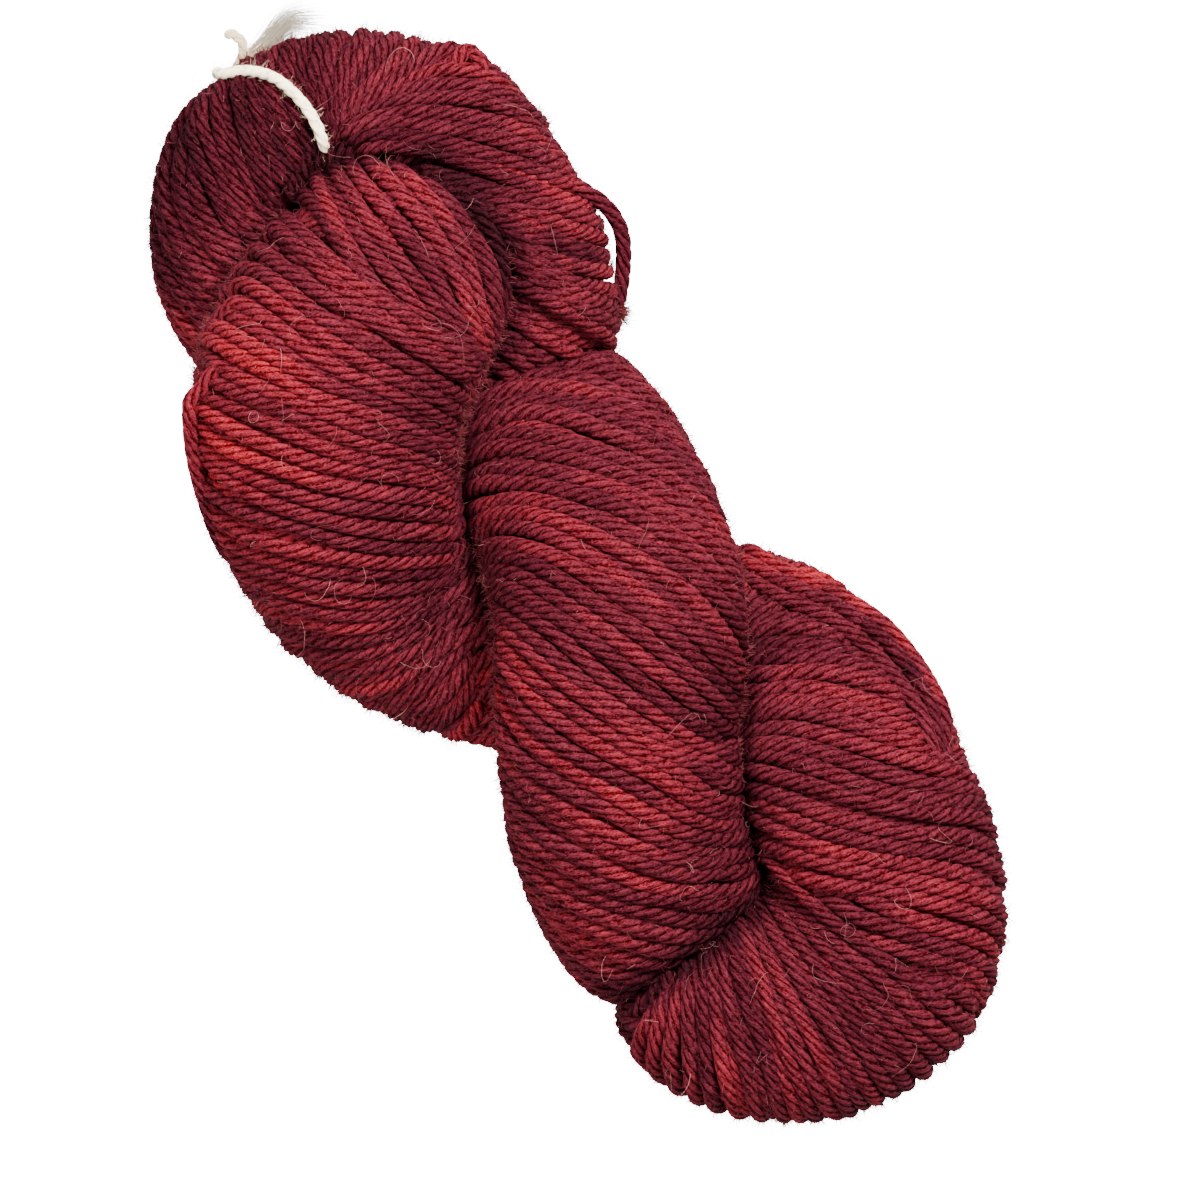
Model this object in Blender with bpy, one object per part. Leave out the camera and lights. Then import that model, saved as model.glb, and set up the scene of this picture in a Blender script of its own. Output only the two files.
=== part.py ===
"""A hank of wool yarn, twisted on itself and laid down, with its tie.

The skein is twisted hard, folded, and lets itself ply: two thick bundles wind
round each other. At -X the bundle bends back over itself as a collar, where
the tie goes round it, and at +X it folds back as a broad round cap.

Frame: X along the hank, Z up, origin on the resting surface under the middle
of the bounding box. The tables are in millimetres, and all is built in metres.
"""

from collections import namedtuple

import bmesh
import bpy
import numpy as np

MM = 0.001

# Driving dimensions, in millimetres
FLATTENING = 0.82        # height of a bundle over its width, as it lies
BUNDLE_SIDES = 20        # facets round a bundle
BUNDLE_STEP = 5.2        # length between a bundle's rings
YARN_DIAMETER = 3.2      # the dyed wool, as the loose strand shows it
TIE_DIAMETER = 2.4       # the undyed wool of the tie
KNOT_DIAMETER = 5.2
CORD_STEP = 2.4          # length between a thin cord's points
CORD_SIDES = 8
SMOOTH_ANGLE = np.radians(50.0)  # sharper edges than this stay creases
CLEARANCE = 0.3          # air between one piece and the next
TABLES_MIDDLE_X = 0.43   # where the bounding box has its middle in the tables
TABLES_MIDDLE_Y = -0.73

# A bundle is a row for each section: its middle, and half its width
Section = namedtuple("Section", "x y z radius")

# From the collar's open end, round the tied end, along the back and over the
# front as the middle lobe, to its end inside the fold
COLLAR_BUNDLE = [
    Section(-32.5, 8.0, 20.5, 18.0),
    Section(-43.0, 15.5, 28.5, 20.5),
    Section(-59.0, 20.5, 35.0, 21.5),
    Section(-79.0, 20.0, 38.0, 20.5),
    Section(-93.0, 7.0, 38.0, 18.5),
    Section(-92.5, -9.5, 35.5, 19.0),
    Section(-78.0, -19.0, 29.0, 19.5),
    Section(-62.0, -15.5, 21.5, 21.0),
    Section(-43.5, -0.5, 17.5, 22.5),
    Section(-24.5, 9.5, 26.0, 23.0),
    Section(-5.5, 11.5, 40.0, 23.5),
    Section(15.0, 6.0, 50.0, 24.5),
    Section(34.0, -5.5, 47.5, 23.5),
    Section(53.0, -13.0, 37.5, 23.5),
    Section(69.5, -12.5, 27.0, 23.0),
    Section(81.5, 3.0, 20.5, 19.0),
]

# From inside the collar over the front as the first lobe, along the back, and
# round the fold as the cap, to its end under the middle
CAP_BUNDLE = [
    Section(-78.5, 3.0, 24.0, 15.0),
    Section(-72.0, 4.0, 37.0, 18.5),
    Section(-61.0, -0.5, 49.5, 24.5),
    Section(-52.0, -16.5, 50.0, 26.5),
    Section(-35.0, -26.5, 42.5, 25.0),
    Section(-17.0, -28.5, 30.5, 23.5),
    Section(1.0, -19.0, 21.0, 23.0),
    Section(18.0, 1.5, 16.0, 23.0),
    Section(35.0, 22.0, 23.5, 22.5),
    Section(50.5, 28.5, 34.0, 22.5),
    Section(67.5, 27.5, 40.0, 22.5),
    Section(84.5, 25.0, 40.0, 21.5),
    Section(97.5, 14.5, 38.5, 21.5),
    Section(98.0, -0.5, 37.0, 21.5),
    Section(88.0, -12.5, 32.0, 21.5),
    Section(75.0, -11.5, 22.0, 21.0),
    Section(59.0, -5.5, 16.0, 20.5),
    Section(43.5, 3.0, 16.0, 18.0),
]

# What fills the inside of the fold
FOLD_HEART = [
    Section(68.0, 4.5, 29.0, 8.5),
    Section(80.0, 7.0, 31.5, 9.5),
    Section(92.0, 7.0, 32.0, 8.0),
]

# A cord is a row for each point of its route
Point = namedtuple("Point", "x y z")

KNOT = Point(-111.5, -4.5, 30.5)

# From the knot over the collar, down into the dimple, through the hank and
# back under the collar
TIE_LOOP = [
    KNOT,
    Point(-113.1, -6.4, 35.5),
    Point(-112.2, -5.6, 40.5),
    Point(-110.4, -1.8, 44.1),
    Point(-107.6, 1.3, 47.5),
    Point(-104.3, 3.2, 50.5),
    Point(-99.5, 4.5, 53.0),
    Point(-95.2, 4.8, 53.9),
    Point(-91.6, 4.3, 52.7),
    Point(-89.6, 3.7, 49.3),
    Point(-89.0, 3.3, 43.5),
    Point(-89.0, 3.0, 33.5),
    Point(-90.0, 1.8, 24.0),
    Point(-96.0, 0.2, 20.7),
    Point(-103.5, -1.6, 22.1),
    Point(-109.0, -3.4, 26.1),
    KNOT,
]

# The bent stub and the frayed tail that stand out past the collar
SHORT_END = [
    KNOT,
    Point(-112.4, -2.4, 33.0),
    Point(-113.9, -0.3, 34.7),
    Point(-116.0, 0.6, 35.5),
    Point(-118.1, -0.2, 35.5),
    Point(-118.5, -1.6, 35.1),
]
LONG_END = [
    KNOT,
    Point(-112.8, -1.2, 32.9),
    Point(-113.1, 3.6, 34.8),
    Point(-114.0, 7.4, 35.7),
    Point(-114.6, 10.2, 36.1),
    Point(-113.2, 12.8, 35.7),
]

# A strand that has slipped off the collar and bridges the notch beside it
LOOSE_STRAND = [
    Point(-61.0, 40.2, 42.7),
    Point(-56.8, 42.6, 39.9),
    Point(-53.4, 44.0, 37.9),
    Point(-49.4, 44.3, 36.1),
    Point(-46.0, 43.3, 34.7),
    Point(-42.4, 41.2, 33.3),
    Point(-39.2, 38.8, 31.9),
    Point(-36.6, 36.4, 30.1),
    Point(-34.6, 34.6, 28.1),
]

DYED_WOOL = ("dyed wool", (0.30, 0.018, 0.032), 0.85)
UNDYED_WOOL = ("undyed wool", (0.86, 0.79, 0.67), 0.90)


def clear_scene():
    for scene_object in list(bpy.data.objects):
        bpy.data.objects.remove(scene_object, do_unlink=True)


def new_collection(name):
    collection = bpy.data.collections.new(name)
    bpy.context.scene.collection.children.link(collection)
    return collection


def wool(name, colour, roughness):
    material = bpy.data.materials.new(name)
    material.use_nodes = True
    shader = material.node_tree.nodes["Principled BSDF"]
    shader.inputs["Base Color"].default_value = (*colour, 1.0)
    shader.inputs["Roughness"].default_value = roughness
    shader.inputs["Metallic"].default_value = 0.0
    return material


def smooth_rows(table, step):
    """Rows on a Catmull-Rom curve through the table, about one step apart."""
    rows = np.array(table, dtype=float)
    before = 2.0 * rows[0] - rows[1]
    after = 2.0 * rows[-1] - rows[-2]
    rows = np.vstack([before, rows, after])
    smooth = []
    for a, b, c, d in zip(rows, rows[1:], rows[2:], rows[3:]):
        count = max(1, round(np.linalg.norm((c - b)[:3]) / step))
        for t in np.arange(count) / count:
            smooth.append(
                0.5 * (2.0 * b + (c - a) * t
                       + (2.0 * a - 5.0 * b + 4.0 * c - d) * t**2
                       + (3.0 * b - a - 3.0 * c + d) * t**3)
            )
    smooth.append(rows[-2])
    return np.array(smooth)


def tube(name, rows, sides):
    """A closed round tube: x, y and z of each row are its line, and the last
    column is its radius there."""
    curve = bpy.data.curves.new(name, "CURVE")
    curve.dimensions = "3D"
    curve.twist_mode = "MINIMUM"
    curve.bevel_depth = MM
    curve.bevel_resolution = (sides - 4) // 2
    curve.use_fill_caps = True
    spline = curve.splines.new("POLY")
    spline.points.add(len(rows) - 1)
    for point, (x, y, z, radius) in zip(spline.points, rows):
        point.co = (x * MM, y * MM, z * MM, 1.0)
        point.radius = radius
    guide = bpy.data.objects.new(name, curve)
    bpy.context.scene.collection.objects.link(guide)
    evaluated = guide.evaluated_get(bpy.context.evaluated_depsgraph_get())
    mesh = bpy.data.meshes.new_from_object(evaluated)
    mesh.name = name
    bpy.data.objects.remove(guide)
    close_mesh(mesh)
    return mesh


def close_mesh(mesh):
    """Weld the loose caps on, turn the faces out and shade them smooth."""
    sheet = bmesh.new()
    sheet.from_mesh(mesh)
    bmesh.ops.remove_doubles(sheet, verts=sheet.verts, dist=0.00001)
    bmesh.ops.recalc_face_normals(sheet, faces=sheet.faces)
    sheet.to_mesh(mesh)
    sheet.free()
    mesh.shade_smooth()
    mesh.set_sharp_from_angle(angle=SMOOTH_ANGLE)


def bundle_mesh(name, table):
    """A bundle lies flatter than it is wide, so its tube is made round in a
    taller space, which is then pressed down."""
    rows = smooth_rows(table, BUNDLE_STEP)
    rows[:, 2] /= FLATTENING
    mesh = tube(name, rows, BUNDLE_SIDES)
    for vertex in mesh.vertices:
        vertex.co.z *= FLATTENING
    return mesh


def cord_mesh(name, table, diameter, longer=0.0):
    """A round cord along the table's points, longer than them at both ends."""
    line = smooth_rows(table, CORD_STEP)
    for end, inner in ((0, 1), (-1, -2)):
        outward = line[end] - line[inner]
        line[end] += longer * outward / np.linalg.norm(outward)
    radius = np.full((len(line), 1), diameter / 2.0)
    return tube(name, np.hstack([line, radius]), CORD_SIDES)


def knot_mesh(name, diameter):
    ball = bmesh.new()
    bmesh.ops.create_icosphere(ball, subdivisions=2, radius=diameter / 2.0 * MM)
    bmesh.ops.translate(ball, verts=ball.verts, vec=[value * MM for value in KNOT])
    mesh = bpy.data.meshes.new(name)
    ball.to_mesh(mesh)
    ball.free()
    return mesh


def place(collection, name, mesh, material=None):
    placed = bpy.data.objects.new(name, mesh)
    placed.location = (-TABLES_MIDDLE_X * MM, -TABLES_MIDDLE_Y * MM, 0.0)
    collection.objects.link(placed)
    if material:
        mesh.materials.clear()
        mesh.materials.append(material)
    return placed


def place_tool(collection, name, mesh):
    tool = place(collection, name, mesh)
    tool.hide_render = True
    tool.display_type = "WIRE"
    return tool


def combine(target, tool, operation, name):
    """Bundles and the tie's loop run through themselves, hence use_self."""
    boolean = target.modifiers.new(name, "BOOLEAN")
    boolean.object = tool
    boolean.operation = operation
    boolean.solver = "EXACT"
    boolean.use_self = True


def tie_meshes(prefix, extra):
    """The tie's loop, knot and ends, each this much thicker than the yarn."""
    thickness = TIE_DIAMETER + extra
    return [
        cord_mesh(prefix + "_loop", TIE_LOOP, thickness),
        knot_mesh(prefix + "_knot", KNOT_DIAMETER + extra),
        cord_mesh(prefix + "_short_end", SHORT_END, thickness),
        cord_mesh(prefix + "_long_end", LONG_END, thickness),
    ]


def resting_surface():
    """A block whose top is the surface that the hank is pressed on."""
    length, width, depth = 0.30, 0.16, 0.03
    block = bmesh.new()
    bmesh.ops.create_cube(block, size=1.0)
    bmesh.ops.scale(block, verts=block.verts, vec=(length, width, depth))
    bmesh.ops.translate(block, verts=block.verts, vec=(0.0, 0.0, -depth / 2.0))
    mesh = bpy.data.meshes.new("resting_surface")
    block.to_mesh(mesh)
    block.free()
    return mesh


def build_tie(parts, tools, material):
    loop, *others = tie_meshes("tie", 0.0)
    tie = place(parts, "tie", loop, material)
    for mesh in others:
        combine(tie, place_tool(tools, mesh.name, mesh), "UNION", mesh.name)
    return tie


def build_loose_strand(parts, material):
    mesh = cord_mesh("loose_strand", LOOSE_STRAND, YARN_DIAMETER)
    return place(parts, "loose_strand", mesh, material)


def build_hank(parts, tools, material):
    """Both bundles as one solid, pressed flat where it rests, with a groove
    and a bore for the tie and a seat for the loose strand."""
    hank = place(parts, "hank", bundle_mesh("hank", COLLAR_BUNDLE), material)
    cap = place_tool(tools, "cap_bundle", bundle_mesh("cap_bundle", CAP_BUNDLE))
    combine(hank, cap, "UNION", "cap_bundle")
    heart = place_tool(tools, "fold_heart", bundle_mesh("fold_heart", FOLD_HEART))
    combine(hank, heart, "UNION", "fold_heart")
    surface = place_tool(tools, "resting_surface", resting_surface())
    combine(hank, surface, "DIFFERENCE", "resting_surface")
    room = 2.0 * CLEARANCE
    cutters = tie_meshes("tie_room", room)
    strand_room = cord_mesh(
        "strand_room", LOOSE_STRAND, YARN_DIAMETER + room, longer=CLEARANCE
    )
    cutters.append(strand_room)
    for mesh in cutters:
        combine(hank, place_tool(tools, mesh.name, mesh), "DIFFERENCE", mesh.name)
    return hank


def build():
    clear_scene()
    parts = new_collection("hank_of_yarn")
    tools = new_collection("cutters")
    dyed = wool(*DYED_WOOL)
    undyed = wool(*UNDYED_WOOL)
    build_hank(parts, tools, dyed)
    build_tie(parts, tools, undyed)
    build_loose_strand(parts, dyed)


build()
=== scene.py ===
# A hank of dyed wool yarn, twisted on itself and laid on a pale surface, seen from straight above.
import math

import bpy
import numpy as np
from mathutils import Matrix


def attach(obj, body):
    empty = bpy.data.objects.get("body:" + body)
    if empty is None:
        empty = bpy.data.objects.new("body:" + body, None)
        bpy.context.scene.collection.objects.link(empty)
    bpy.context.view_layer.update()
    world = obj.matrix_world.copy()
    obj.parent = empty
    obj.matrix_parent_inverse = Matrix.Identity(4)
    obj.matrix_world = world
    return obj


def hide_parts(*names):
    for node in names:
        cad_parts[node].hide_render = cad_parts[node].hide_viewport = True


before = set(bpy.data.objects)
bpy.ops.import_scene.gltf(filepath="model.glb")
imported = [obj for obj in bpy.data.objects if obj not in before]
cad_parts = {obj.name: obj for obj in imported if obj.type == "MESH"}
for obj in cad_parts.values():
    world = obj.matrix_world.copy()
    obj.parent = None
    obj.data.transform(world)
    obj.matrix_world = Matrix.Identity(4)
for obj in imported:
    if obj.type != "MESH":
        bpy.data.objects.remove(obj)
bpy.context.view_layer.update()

MM = 0.001


# ---- Camera ----------------------------------------------------------------
# The hank lies slantwise in the picture, its tied end at the upper left, and
# is looked at from straight above through a long lens.
PHOTO_PIXELS = 1200
PIXEL = 0.19 * MM
ALONG_HANK = (0.513, 0.859)          # the hank's own +X, as right and down in the picture
PICTURE_MIDDLE = (9.68 * MM, 5.40 * MM)
SILHOUETTE_HEIGHT = 36.0 * MM
CAMERA_HEIGHT = 2.0
FILM_WIDTH = 36.0


def place(name, data):
    placed = bpy.data.objects.new(name, data)
    bpy.context.scene.collection.objects.link(placed)
    return placed


camera_data = bpy.data.cameras.new("overhead_camera")
camera_data.sensor_width = FILM_WIDTH
camera_data.lens = FILM_WIDTH * (CAMERA_HEIGHT - SILHOUETTE_HEIGHT) / (PHOTO_PIXELS * PIXEL)
camera_data.clip_start = 0.01
camera = place("overhead_camera", camera_data)
camera.location = (*PICTURE_MIDDLE, CAMERA_HEIGHT)
camera.rotation_euler = (0.0, 0.0, math.atan2(ALONG_HANK[1], ALONG_HANK[0]))
bpy.context.scene.camera = camera


# ---- Surface and light -----------------------------------------------------
# A plain pale table top, a large soft light from the upper right, a weaker one
# across from it, and an even white surrounding.
SURROUNDING_STRENGTH = 0.42
TABLE_REACH = 3.0
SEEN_TABLE_STRENGTH = 17.0


def soft_light(name, right, up, height, size, power):
    """A round lamp, that far right and up in the picture, aimed at the hank."""
    lamp = bpy.data.lights.new(name, "AREA")
    lamp.shape = "DISK"
    lamp.size = size
    lamp.energy = power
    light = place(name, lamp)
    x = ALONG_HANK[0] * right - ALONG_HANK[1] * up
    y = ALONG_HANK[1] * right + ALONG_HANK[0] * up
    light.location = (x, y, height)
    light.rotation_euler = (0.0, -math.atan2(math.hypot(x, y), height), math.atan2(-y, -x))
    return light


soft_light("key_light", right=0.34, up=0.55, height=1.05, size=0.40, power=30.0)
soft_light("fill_light", right=-0.9, up=-0.3, height=1.1, size=1.2, power=10.5)

world = bpy.data.worlds.new("white_surrounding")
world.use_nodes = True
surrounding = world.node_tree.nodes["Background"]
surrounding.inputs["Color"].default_value = (1.0, 1.0, 1.0, 1.0)
surrounding.inputs["Strength"].default_value = SURROUNDING_STRENGTH
bpy.context.scene.world = world


class Socket:
    """A shader socket that takes part in sums, products and comparisons."""

    def __init__(self, tree, link=None):
        self.tree = tree
        self.link = link

    def node(self, kind, settings=(), values=(), output=0):
        """A new node of this kind: its settings first, such as a ramp's
        (position, colour) stops, then its sockets."""
        made = self.tree.nodes.new(kind)
        for key, value in dict(settings).items():
            if key != "stops":
                setattr(made, key, value)
                continue
            elements = made.color_ramp.elements
            while len(elements) < len(value):
                elements.new(0.5)
            for element, (position, colour) in zip(elements, value):
                element.position = position
                element.color = (*colour, 1.0)
        for key, value in dict(values).items():
            if isinstance(value, Socket):
                value.feed(made, key)
            else:
                made.inputs[key].default_value = value
        return Socket(self.tree, made.outputs[output])

    def feed(self, node, key):
        self.tree.links.new(self.link, node.inputs[key])

    def maths(self, operation, first, second=0.0, clamp=False):
        settings = {"operation": operation, "use_clamp": clamp}
        return self.node("ShaderNodeMath", settings, {0: first, 1: second})

    def __add__(self, other):
        return self.maths("ADD", self, other)

    def __sub__(self, other):
        return self.maths("SUBTRACT", self, other)

    def __mul__(self, other):
        return self.maths("MULTIPLY", self, other)

    def __rsub__(self, other):
        return self.maths("SUBTRACT", other, self)

    __radd__ = __add__
    __rmul__ = __mul__

    def clamped(self):
        return self.maths("ADD", self, 0.0, clamp=True)

    def ramp(self, stops):
        return self.node("ShaderNodeValToRGB", {"stops": stops}, {0: self})


table_mesh = bpy.data.meshes.new("table_top")
corners = ((-TABLE_REACH, -TABLE_REACH), (TABLE_REACH, -TABLE_REACH),
           (TABLE_REACH, TABLE_REACH), (-TABLE_REACH, TABLE_REACH))
table_mesh.from_pydata([(x, y, 0.0) for x, y in corners], [], [(0, 1, 2, 3)])
table_top = place("table_top", table_mesh)

# The picture shows the table burnt out to white, and it still throws no more
# than a pale table's own light back on the yarn
table_paint = bpy.data.materials.new("pale_table")
table_paint.use_nodes = True
table_nodes = table_paint.node_tree.nodes
table_nodes.remove(table_nodes["Principled BSDF"])
table_start = Socket(table_paint.node_tree)
looked_at = table_start.node("ShaderNodeLightPath")
as_lit = table_start.node("ShaderNodeBsdfDiffuse", (), {"Color": (0.80, 0.80, 0.80, 1.0)})
as_seen = table_start.node(
    "ShaderNodeEmission", (), {"Color": (1.0, 1.0, 1.0, 1.0), "Strength": SEEN_TABLE_STRENGTH}
)
either = table_start.node("ShaderNodeMixShader", (), {0: looked_at, 1: as_lit, 2: as_seen})
either.feed(table_nodes["Material Output"], "Surface")
table_mesh.materials.append(table_paint)


# ---- The two bundles -------------------------------------------------------
# The skein is twisted hard and folded, and plies round itself as two thick
# bundles, pressed a little flat. Their routes are the solids' own.
FLATTENING = 0.82
HANK_MIDDLE = np.array([0.43, -0.73, 0.0])        # in the tables below, in millimetres
RUN_STEP = 0.5
NOT_INSIDE = -99.0


def numbers(table, width):
    """A written table's numbers, in rows of this width."""
    return np.array(table.replace(",", " ").split(), dtype=float).reshape(-1, width)


# Each row is a section's middle, x, y and z, and half its width, in millimetres
COLLAR_BUNDLE = numbers("""
    -32.5,8,20.5,18  -43,15.5,28.5,20.5  -59,20.5,35,21.5  -79,20,38,20.5  -93,7,38,18.5
    -92.5,-9.5,35.5,19  -78,-19,29,19.5  -62,-15.5,21.5,21  -43.5,-0.5,17.5,22.5
    -24.5,9.5,26,23  -5.5,11.5,40,23.5  15,6,50,24.5  34,-5.5,47.5,23.5  53,-13,37.5,23.5
    69.5,-12.5,27,23  81.5,3,20.5,19
""", 4)
CAP_BUNDLE = numbers("""
    -78.5,3,24,15  -72,4,37,18.5  -61,-0.5,49.5,24.5  -52,-16.5,50,26.5  -35,-26.5,42.5,25
    -17,-28.5,30.5,23.5  1,-19,21,23  18,1.5,16,23  35,22,23.5,22.5  50.5,28.5,34,22.5
    67.5,27.5,40,22.5  84.5,25,40,21.5  97.5,14.5,38.5,21.5  98,-0.5,37,21.5
    88,-12.5,32,21.5  75,-11.5,22,21  59,-5.5,16,20.5  43.5,3,16,18
""", 4)

# How the strands lie, a row every 12 mm of a bundle: how many cross its top in
# a millimetre, and how far their count sways round it, once and twice a turn
LAY_STEP = 12.0
COLLAR_STRANDS = 20
CAP_STRANDS = 18
COLLAR_LAY = numbers("""
    0.272,0.37,-0.48,0,-0.01  0.259,0.34,-0.46,0.14,-0.02  0.246,0.31,-0.43,0.27,-0.03
    0.235,0.23,-0.33,0.34,-0.01  0.227,0.13,-0.2,0.36,0.03  0.221,0.03,-0.1,0.34,0.08
    0.217,-0.08,-0.09,0.26,0.04  0.212,-0.13,-0.15,0.22,-0.05  0.205,-0.15,-0.16,0.18,-0.1
    0.199,-0.16,-0.09,0.11,-0.09  0.196,-0.12,-0.02,0.04,-0.07  0.196,-0.03,0,0.02,-0.05
    0.196,0.07,-0.01,0.04,-0.02  0.196,0.19,-0.02,0.06,0.02  0.198,0.31,0,0.06,0.06
    0.201,0.45,0.07,0.04,0.09  0.21,0.58,0.27,0.04,0.15  0.226,0.69,0.63,0.09,0.3
    0.255,0.74,0.96,0.17,0.46  0.289,0.69,0.72,0.2,0.32  0.306,0.55,-0.12,0.19,-0.17
    0.3,0.38,-0.8,0.16,-0.54  0.282,0.26,-0.93,0.18,-0.54  0.266,0.17,-0.67,0.2,-0.4
    0.256,0.05,-0.35,0.14,-0.26  0.248,-0.06,-0.09,0.07,-0.16  0.243,-0.16,0.16,0.01,-0.06
    0.237,-0.26,0.4,-0.05,0.04
""", 5)
CAP_LAY = numbers("""
    0.426,-0.8,1.72,-0.07,0.46  0.415,-0.89,1.2,-0.21,0.41  0.402,-0.97,0.65,-0.34,0.34
    0.386,-1.01,0.03,-0.46,0.19  0.362,-0.97,-0.64,-0.49,-0.05
    0.329,-0.74,-1.16,-0.32,-0.31  0.293,-0.44,-1.25,-0.05,-0.39
    0.266,-0.17,-1.14,0.13,-0.48  0.245,0,-0.98,0.16,-0.57  0.234,0.15,-0.71,0.15,-0.49
    0.231,0.3,-0.44,0.13,-0.35  0.233,0.43,-0.21,0.09,-0.22  0.241,0.57,-0.04,0.06,-0.13
    0.251,0.71,0.1,0.05,-0.08  0.263,0.84,0.22,0.07,-0.04  0.277,0.94,0.33,0.13,-0.01
    0.291,0.99,0.44,0.22,0.04  0.307,0.93,0.53,0.32,0.11  0.321,0.68,0.46,0.37,0.13
    0.329,0.17,0.27,0.32,0.08  0.329,-0.63,0.24,0,0.17  0.329,-1.56,0.28,-0.48,0.28
    0.328,-2.4,0.26,-1.01,0.3  0.324,-2.91,0.23,-1.3,0.28  0.321,-3.02,0.17,-1.33,0.22
    0.316,-2.83,0.08,-1.14,0.14  0.31,-2.44,0.01,-0.84,0.07  0.304,-1.94,-0.05,-0.51,0.02
    0.297,-1.39,-0.1,-0.19,-0.03  0.291,-0.84,-0.15,0.13,-0.07
""", 5)


def smooth_rows(table, step):
    """Rows on a smooth curve through the table, about one step apart."""
    rows = np.vstack([2.0 * table[0] - table[1], table, 2.0 * table[-1] - table[-2]])
    smooth = []
    for a, b, c, d in zip(rows, rows[1:], rows[2:], rows[3:]):
        count = max(1, round(np.linalg.norm((c - b)[:3]) / step))
        for t in np.arange(count) / count:
            smooth.append(
                0.5 * (2.0 * b + (c - a) * t
                       + (2.0 * a - 5.0 * b + 4.0 * c - d) * t**2
                       + (3.0 * b - a - 3.0 * c + d) * t**3)
            )
    smooth.append(rows[-2])
    return np.array(smooth)


def unit(vectors):
    return vectors / np.linalg.norm(vectors, axis=-1, keepdims=True)


def run_along(points):
    """Length from the first point to each."""
    steps = np.linalg.norm(np.diff(points, axis=0), axis=1)
    return np.concatenate([[0.0], np.cumsum(steps)])


def read_at(stops, run, values):
    """Numbers or rows that are kept along a run, read at these stops of it."""
    if values.ndim == 1:
        return np.interp(stops, run, values)
    return np.stack([np.interp(stops, run, column) for column in values.T], axis=-1)


class Bundle:
    """A thick bundle's line, a frame on it whose angle 0 is its top, and the
    way that its strands wind round it. Its z is stretched until the end, where
    the bundle is pressed flat, so that here it is round."""

    def __init__(self, table, strands, lay):
        rows = smooth_rows(table, 1.0)
        line = (rows[:, :3] - HANK_MIDDLE) / (1.0, 1.0, FLATTENING)
        run = run_along(line)
        self.run = np.arange(0.0, run[-1], RUN_STEP)
        self.middle = read_at(self.run, run, line)
        self.radius = read_at(self.run, run, rows[:, 3])
        tangent = unit(np.gradient(self.middle, self.run, axis=0))
        self.bend = np.gradient(tangent, self.run, axis=0)
        up = np.array([0.0, 0.0, 1.0])
        self.normal = unit(up - (tangent @ up)[:, None] * tangent)
        self.side = np.cross(tangent, self.normal)
        self.strands = strands
        knots = np.column_stack([LAY_STEP * np.arange(len(lay)), lay])
        laid = smooth_rows(knots, 1.0)
        laid = read_at(self.run, laid[:, 0], laid[:, 1:])
        self.crossings = np.cumsum(laid[:, 0]) * RUN_STEP
        self.sway = laid[:, 1:]

    def count_at(self, angle):
        """The strands' count along the bundle at one angle round it, apart
        from the even part, which grows by all its strands in a turn."""
        once_sine, once_cosine, twice_sine, twice_cosine = self.sway.T
        return (
            self.crossings
            + once_sine * np.sin(angle) - once_cosine * np.cos(angle)
            + twice_sine * np.sin(2.0 * angle) - twice_cosine * np.cos(2.0 * angle)
        )

    def at(self, run, values):
        return read_at(run, self.run, values)

    def depth_inside(self, points, own_run=None, own_reach=45.0):
        """How deep points lie inside the bundle. A point of the bundle itself
        is measured against the stretches that are further along it."""
        deepest = np.full(len(points), NOT_INSIDE)
        for middle, radius, run in zip(self.middle[::2], self.radius[::2], self.run[::2]):
            depth = radius - np.linalg.norm(points - middle, axis=1)
            if own_run is not None:
                depth[np.abs(own_run - run) < own_reach] = NOT_INSIDE
            deepest = np.maximum(deepest, depth)
        return deepest


bundles = {
    "collar": Bundle(COLLAR_BUNDLE, COLLAR_STRANDS, COLLAR_LAY),
    "cap": Bundle(CAP_BUNDLE, CAP_STRANDS, CAP_LAY),
}


# ---- The strands' courses --------------------------------------------------
# Each strand winds steeply round its bundle, nearly straight across it, and
# wanders a little. Where bundles press on each other it is pushed in, and
# strands that nothing shows are left out. All sizes are in millimetres.
random = np.random.default_rng(11)
STRAND_RADIUS = 1.64
ANGLES_ROUND = 360
USUAL_BUNDLE_RADIUS = 22.0
DYE_REPEAT = 400.0
RING_STEP = 1.08
LOWER_RING_STEP = 1.8 * RING_STEP
UNDERSIDE_DETAIL = 0.5
UNDERSIDE_FROM = -0.35
LEAST_STEPS = 20
LEAST_RINGS = 5
LEAST_SPREAD = 0.3
SNUG_SPACING, SNUG_RANGE = 3.15, 1.2
TIGHT_SPACING, TIGHT_RANGE = 2.75, 0.8
LOWER_SEEN_SPACING, LOWER_RISE_SPACING = 3.25, 3.3
LOWER_DEPTH, LOWER_RISE = 2.5, 1.5
CROWDED_DEPTH = 1.6
PRESS_FROM, PRESS_SHARPNESS, PRESS_SHARE = -0.9, 1.6, 0.5
DEEPEST_PRESS = 4.0
HIDDEN_DEPTH = 3.0
LEAST_HEIGHT = 0.93


def wander(run, period, reach):
    """A smooth random walk round zero, one swing a period."""
    count = int(abs(run[-1] - run[0]) / period) + 4
    knots = random.uniform(-1.0, 1.0, count)
    place_on = np.abs(run - run[0]) / period + random.uniform(0.0, 1.0)
    first = place_on.astype(int)
    part = place_on - first
    part = part * part * (3.0 - 2.0 * part)
    return reach * (knots[first] * (1.0 - part) + knots[first + 1] * part)


def press_flat(points, out, radius):
    """Points and outward directions, the bundle pressed flat on the table."""
    points = points * (1.0, 1.0, FLATTENING)
    points[:, 2] = np.maximum(points[:, 2], radius * LEAST_HEIGHT)
    return points, out / (1.0, 1.0, FLATTENING)


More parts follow.
